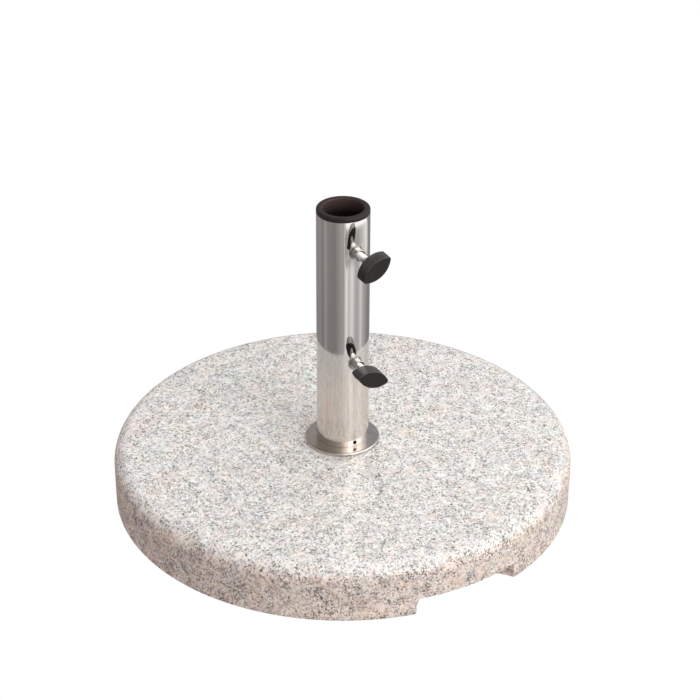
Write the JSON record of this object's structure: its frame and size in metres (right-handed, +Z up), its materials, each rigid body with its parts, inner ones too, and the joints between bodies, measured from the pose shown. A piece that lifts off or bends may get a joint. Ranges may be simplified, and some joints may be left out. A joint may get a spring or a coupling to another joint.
{
  "type": "parasol base",
  "caption": "Round polished granite parasol base with a stainless stand tube, plastic mouth ring and thumb screws that clamp the mast.",
  "frame": {"origin": "on the ground under the middle of the slab", "axes": "+Z up along the stand tube; the two thumb screws point along -Y, so -Y is the front"},
  "size_m": [0.45, 0.45, 0.3098],
  "materials": {
    "granite": "polished top, honed rim",
    "foot_rubber": "matt",
    "polished_steel": "mirror polished with a fine grain along the tube",
    "turned_steel": "turned",
    "screw_steel": "bright, threaded",
    "zinc_steel": "zinc plated",
    "black_plastic": "satin moulded",
    "nylon": "natural white"
  },
  "bodies": {
    "base": {"granite_slab": "granite", "foot_front_left": "foot_rubber", "foot_front_right": "foot_rubber", "foot_rear_left": "foot_rubber", "foot_rear_right": "foot_rubber", "base_flange": "polished_steel", "stand_tube": "polished_steel", "tube_foot_plug": "turned_steel", "anchor_bolt": "zinc_steel", "spring_washer": "zinc_steel", "anchor_washer": "zinc_steel", "top_ring": "black_plastic", "clamp_boss_lower": "turned_steel", "clamp_boss_upper": "turned_steel"},
    "lower_pad": {"clamp_pad_lower": "nylon"},
    "lower_screw": {"clamp_screw_lower": "screw_steel", "clamp_knob_lower": "black_plastic"},
    "upper_pad": {"clamp_pad_upper": "nylon"},
    "upper_screw": {"clamp_screw_upper": "screw_steel", "clamp_knob_upper": "black_plastic"}
  },
  "joints": [
    {"name": "lower_clamp_travel", "type": "slide", "parent": "base", "child": "lower_pad", "axis": [0, -1, 0], "range_m": [-0.01344, 0.00876]},
    {"name": "lower_clamp_turn", "type": "hinge", "parent": "lower_pad", "child": "lower_screw", "pos_m": [0, -0.0483, 0.156], "axis": [0, -1, 0], "range_deg": [-3870, 2520]},
    {"name": "upper_clamp_travel", "type": "slide", "parent": "base", "child": "upper_pad", "axis": [0, -1, 0], "range_m": [-0.01844, 0.00376]},
    {"name": "upper_clamp_turn", "type": "hinge", "parent": "upper_pad", "child": "upper_screw", "pos_m": [0, -0.0533, 0.274], "axis": [0, -1, 0], "range_deg": [-5310, 1080]}
  ],
  "couplings": [
    {"joint": "lower_clamp_travel", "follows": "lower_clamp_turn", "m_per_rad": 0.00019894},
    {"joint": "upper_clamp_travel", "follows": "upper_clamp_turn", "m_per_rad": 0.00019894}
  ]
}
